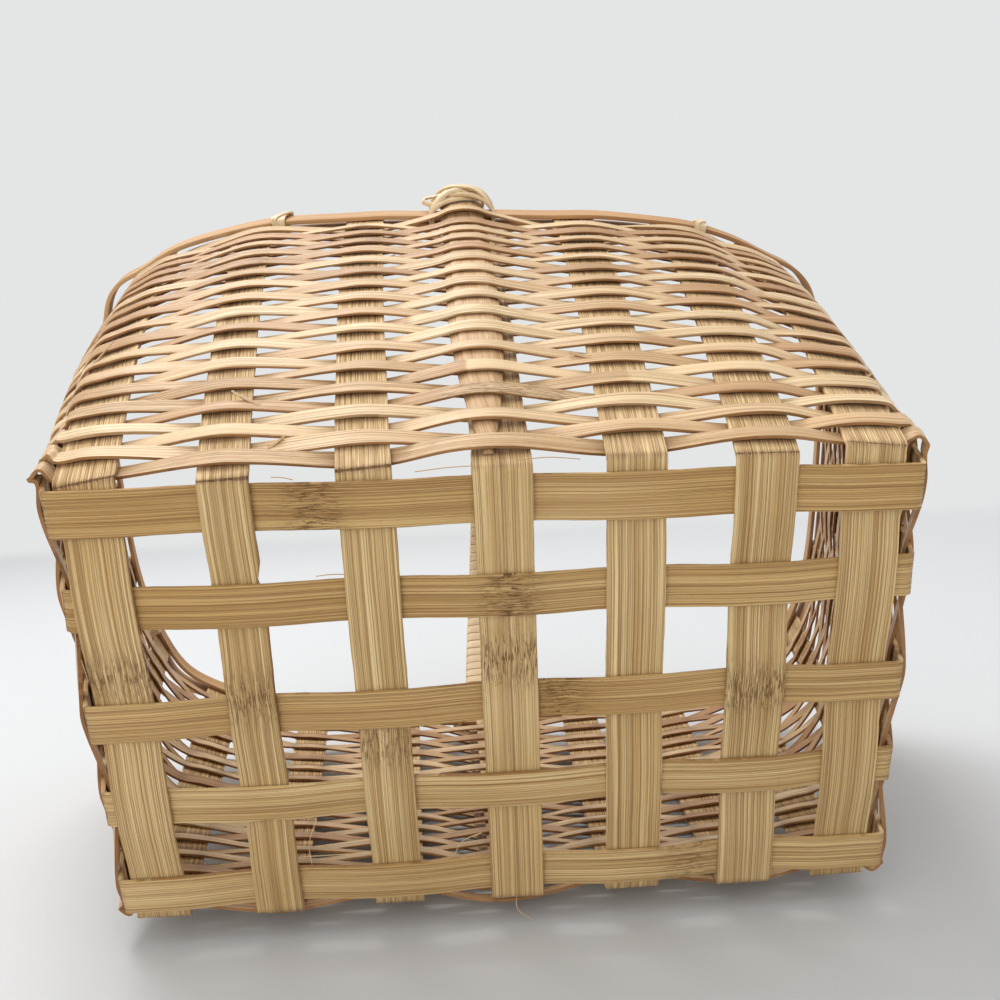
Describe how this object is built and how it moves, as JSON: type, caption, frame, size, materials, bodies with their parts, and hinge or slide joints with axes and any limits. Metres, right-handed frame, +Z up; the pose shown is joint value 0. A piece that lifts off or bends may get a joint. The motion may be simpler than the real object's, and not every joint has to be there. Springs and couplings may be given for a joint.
{
  "type": "handled basket",
  "caption": "Oblong woven bamboo basket with an open plaited base, flared walls, a bound rim and a cane-wrapped bow handle.",
  "frame": {"origin": "centre of the overall footprint on the plane the base rests on", "axes": "+Z up from the base to the handle's crown; +X along the long side; +Y across the basket, in the plane of the handle"},
  "size_m": [0.2946, 0.2359, 0.285],
  "materials": {
    "splint_straw": "matte split bamboo",
    "weaver_peel": "matte split bamboo",
    "rim_bamboo": "satin bamboo skin",
    "handle_bamboo": "satin bamboo skin",
    "binding_cane": "satin cane"
  },
  "bodies": {
    "root": {"cross_splint_1": "splint_straw", "cross_splint_2": "splint_straw", "cross_splint_3": "splint_straw", "cross_splint_4": "splint_straw", "cross_splint_5": "splint_straw", "cross_splint_6": "splint_straw", "cross_splint_7": "splint_straw", "long_splint_1": "splint_straw", "long_splint_2": "splint_straw", "long_splint_3": "splint_straw", "long_splint_4": "splint_straw", "long_splint_5": "splint_straw", "weaver_row_01": "weaver_peel", "weaver_row_02": "weaver_peel", "weaver_row_03": "weaver_peel", "weaver_row_04": "weaver_peel", "weaver_row_05": "weaver_peel", "weaver_row_06": "weaver_peel", "weaver_row_07": "weaver_peel", "weaver_row_08": "weaver_peel", "weaver_row_09": "weaver_peel", "weaver_row_10": "weaver_peel", "weaver_row_11": "weaver_peel", "weaver_row_12": "weaver_peel", "weaver_row_13": "weaver_peel", "weaver_row_14": "weaver_peel", "weaver_row_15": "weaver_peel", "weaver_row_16": "weaver_peel", "weaver_row_17": "weaver_peel", "weaver_row_18": "weaver_peel", "weaver_row_19": "weaver_peel", "weaver_row_20": "weaver_peel", "weaver_row_21": "weaver_peel", "weaver_row_22": "weaver_peel", "weaver_row_23": "weaver_peel", "weaver_row_24": "weaver_peel", "weaver_row_25": "weaver_peel", "weaver_row_26": "weaver_peel", "weaver_row_27": "weaver_peel", "weaver_row_28": "weaver_peel", "weaver_row_29": "weaver_peel", "weaver_row_30": "weaver_peel", "weaver_row_31": "weaver_peel", "rim_band": "rim_bamboo", "rim_hoop": "rim_bamboo", "rim_tie_1": "binding_cane", "rim_tie_2": "binding_cane", "rim_tie_3": "binding_cane", "rim_tie_4": "binding_cane", "bow_handle": "handle_bamboo", "handle_wrap": "binding_cane", "handle_lashing_front": "binding_cane", "handle_lashing_back": "binding_cane"}
  },
  "joints": []
}
